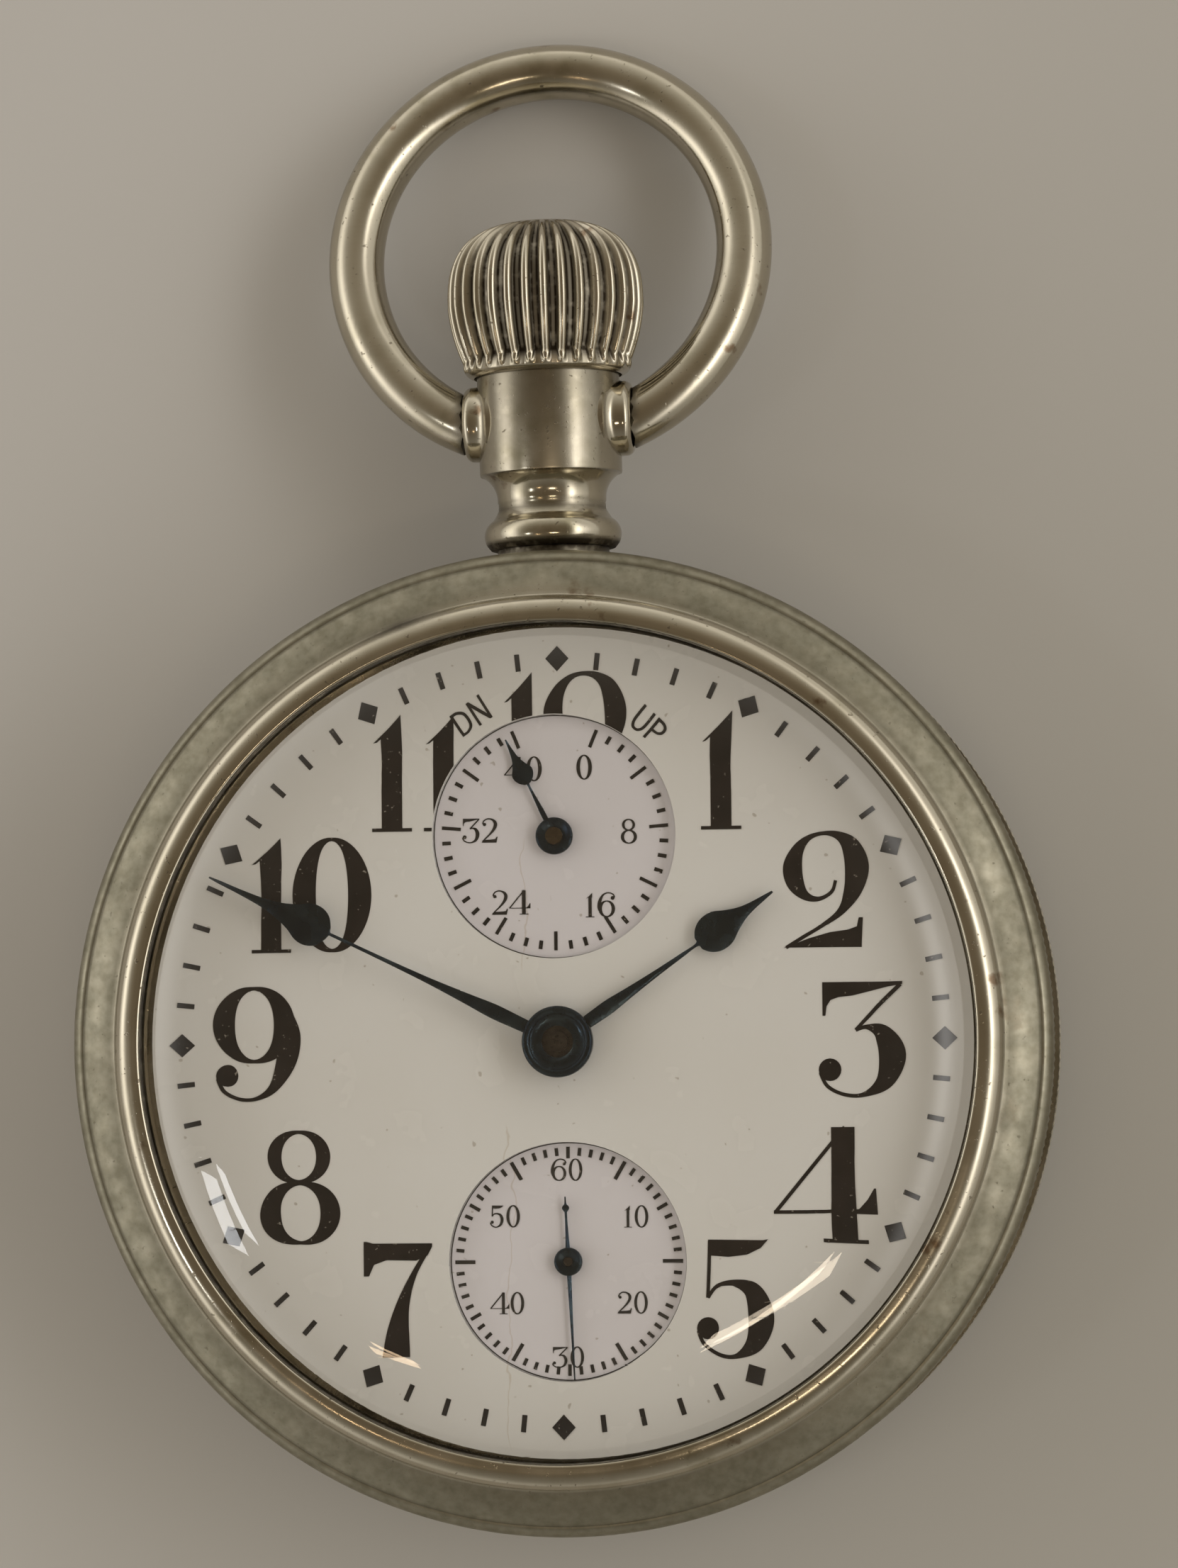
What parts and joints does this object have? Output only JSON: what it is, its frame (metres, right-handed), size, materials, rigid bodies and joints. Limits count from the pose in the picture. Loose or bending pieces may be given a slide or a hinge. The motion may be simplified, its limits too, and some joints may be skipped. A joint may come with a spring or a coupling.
{
  "type": "pocket watch",
  "caption": "Open face pocket watch with a fluted crown, hinged bow, spade hands, seconds dial, winding indicator and a complete three-quarter plate movement.",
  "frame": {"origin": "centre of the flat disc of the back cover that the watch lies on", "axes": "+Z leaves the dial, +Y points from the dial's centre to the crown and bow, +X to 3 o'clock"},
  "size_m": [0.057, 0.0884, 0.0173],
  "materials": {
    "case_nickel": "worn nickel silver, softly polished with a yellow-grey patina",
    "crystal_glass": "clear polished glass",
    "dial_enamel": "fired white enamel with black printed figures",
    "subdial_enamel": "fired white enamel, sunk, with black printed scale",
    "blued_steel": "heat-blued polished steel",
    "plate_nickel": "nickel plate with engine-turned stripes",
    "wheel_brass": "polished brass",
    "gilt": "gilt, polished",
    "polished_steel": "polished hardened steel",
    "ruby": "polished synthetic ruby"
  },
  "bodies": {
    "case": {"case_band": "case_nickel", "pendant": "case_nickel", "pendant_sleeve": "wheel_brass", "pillar_plate": "plate_nickel", "train_plate": "plate_nickel", "barrel_bridge": "plate_nickel", "balance_cock": "plate_nickel", "pallet_bridge": "plate_nickel", "pillars": "plate_nickel", "plate_screws": "blued_steel", "cock_screws": "blued_steel", "case_screws": "blued_steel", "jewel_settings": "gilt", "jewels": "ruby", "click_spring": "polished_steel", "hairspring_stud": "blued_steel", "hairspring": "blued_steel", "dial": "dial_enamel", "seconds_dial": "subdial_enamel", "indicator_dial": "subdial_enamel", "dial_screws": "blued_steel"},
    "bow": {"bow": "case_nickel"},
    "glass": {"crystal": "crystal_glass"},
    "bezel": {"bezel": "case_nickel"},
    "back": {"back_cover": "case_nickel"},
    "winder": {"crown": "case_nickel", "winding_stem": "polished_steel", "winding_pinion": "polished_steel"},
    "crown_gear": {"crown_wheel": "polished_steel"},
    "spring_arbor": {"ratchet_wheel": "polished_steel", "ratchet_screw": "polished_steel", "barrel_arbor": "polished_steel"},
    "idler": {"idler_wheel": "wheel_brass"},
    "indicator": {"indicator_wheel": "wheel_brass", "indicator_hand": "blued_steel"},
    "pawl": {"click": "polished_steel"},
    "minute_arbor": {"center_wheel": "wheel_brass", "center_pinion": "polished_steel", "cannon_pinion": "polished_steel", "minute_hand": "blued_steel"},
    "hour_tube": {"hour_wheel": "wheel_brass", "hour_hand": "blued_steel"},
    "motion_wheel": {"minute_wheel": "wheel_brass"},
    "third_arbor": {"third_wheel": "wheel_brass", "third_pinion": "polished_steel"},
    "seconds_arbor": {"fourth_wheel": "wheel_brass", "fourth_pinion": "polished_steel", "seconds_hand": "blued_steel"},
    "escape_arbor": {"escape_wheel": "gilt", "escape_pinion": "polished_steel"},
    "barrel": {"mainspring_barrel": "wheel_brass", "barrel_cover": "wheel_brass", "mainspring": "polished_steel"},
    "pallets": {"pallet_fork": "polished_steel", "pallet_stones": "ruby"},
    "balance": {"balance_wheel": "gilt", "balance_screws": "gilt", "balance_staff": "polished_steel"},
    "regulator": {"regulator": "polished_steel"},
    "lever": {"setting_lever": "polished_steel"}
  },
  "joints": [
    {"name": "bow_swing", "type": "hinge", "parent": "case", "child": "bow", "pos_m": [0, 0.0365, 0.008], "axis": [1, 0, 0], "range_deg": [-113, 146]},
    {"name": "bezel_lift", "type": "slide", "parent": "case", "child": "glass", "axis": [0, 0, 1], "range_m": [0, 0.02]},
    {"name": "bezel_turn", "type": "hinge", "parent": "glass", "child": "bezel", "pos_m": [0, 0, 0.012], "axis": [0, 0, 1], "range_deg": [0, 1080]},
    {"name": "back_lift", "type": "slide", "parent": "case", "child": "back", "axis": [0, 0, -1], "range_m": [0, 0.02]},
    {"name": "crown_wind", "type": "hinge", "parent": "case", "child": "winder", "pos_m": [0, 0.04, 0.008], "axis": [0, -1, 0], "range_deg": [0, 4417]},
    {"name": "crown_wheel_spin", "type": "hinge", "parent": "case", "child": "crown_gear", "pos_m": [0, 0.01425, 0.005], "axis": [0, 0, 1], "range_deg": [-2652, 2]},
    {"name": "ratchet_spin", "type": "hinge", "parent": "case", "child": "spring_arbor", "pos_m": [0.00764, 0.00764, 0.005], "axis": [0, 0, 1], "range_deg": [-2, 2132], "deforming": ["mainspring"]},
    {"name": "idler_spin", "type": "hinge", "parent": "case", "child": "idler", "pos_m": [0.00364, 0.0089, 0.011], "axis": [0, 0, 1], "range_deg": [-855, 2]},
    {"name": "indicator_spin", "type": "hinge", "parent": "case", "child": "indicator", "pos_m": [0, 0.01192, 0.011], "axis": [0, 0, 1], "range_deg": [-1, 311]},
    {"name": "click_lift", "type": "hinge", "parent": "case", "child": "pawl", "pos_m": [0.0146, 0.0126, 0.005], "axis": [0, 0, -1], "range_deg": [0, 10]},
    {"name": "minute_spin", "type": "hinge", "parent": "case", "child": "minute_arbor", "pos_m": [0, 0, 0.011], "axis": [0, 0, -1], "continuous": true},
    {"name": "hour_spin", "type": "hinge", "parent": "case", "child": "hour_tube", "pos_m": [0, 0, 0.011], "axis": [0, 0, -1], "continuous": true},
    {"name": "minute_wheel_spin", "type": "hinge", "parent": "case", "child": "motion_wheel", "pos_m": [0.0045, 0, 0.011], "axis": [0, 0, -1], "continuous": true},
    {"name": "third_spin", "type": "hinge", "parent": "case", "child": "third_arbor", "pos_m": [0.00298, -0.00705, 0.008], "axis": [0, 0, -1], "continuous": true},
    {"name": "fourth_spin", "type": "hinge", "parent": "case", "child": "seconds_arbor", "pos_m": [0, -0.01268, 0.008], "axis": [0, 0, -1], "continuous": true},
    {"name": "escape_spin", "type": "hinge", "parent": "case", "child": "escape_arbor", "pos_m": [-0.00572, -0.01268, 0.008], "axis": [0, 0, -1], "continuous": true},
    {"name": "barrel_spin", "type": "hinge", "parent": "case", "child": "barrel", "pos_m": [0.00764, 0.00764, 0.008], "axis": [0, 0, -1], "continuous": true},
    {"name": "pallet_rock", "type": "hinge", "parent": "case", "child": "pallets", "pos_m": [-0.00838, -0.00891, 0.008], "axis": [0, 0, 1], "range_deg": [-2.5, 2.5]},
    {"name": "balance_swing", "type": "hinge", "parent": "case", "child": "balance", "pos_m": [-0.0122, -0.0035, 0.007], "axis": [0, 0, 1], "range_deg": [-270, 270], "deforming": ["hairspring"]},
    {"name": "regulator_turn", "type": "hinge", "parent": "case", "child": "regulator", "pos_m": [-0.0122, -0.0035, 0.004], "axis": [0, 0, 1], "range_deg": [-12, 12]},
    {"name": "setting_lever_pull", "type": "slide", "parent": "case", "child": "lever", "axis": [0.6428, 0.766, 0], "range_m": [0, 0.002]}
  ],
  "couplings": [
    {"joint": "crown_wheel_spin", "follows": "crown_wind", "ratio": -0.6},
    {"joint": "ratchet_spin", "follows": "crown_wind", "ratio": 0.48214},
    {"joint": "idler_spin", "follows": "crown_wind", "ratio": -0.19286},
    {"joint": "indicator_spin", "follows": "crown_wind", "ratio": 0.07013},
    {"joint": "hour_spin", "follows": "minute_spin", "ratio": 0.083333},
    {"joint": "minute_wheel_spin", "follows": "minute_spin", "ratio": -0.33333},
    {"joint": "third_spin", "follows": "minute_spin", "ratio": -8},
    {"joint": "fourth_spin", "follows": "minute_spin", "ratio": 60},
    {"joint": "escape_spin", "follows": "minute_spin", "ratio": -600},
    {"joint": "barrel_spin", "follows": "minute_spin", "ratio": -0.15}
  ]
}
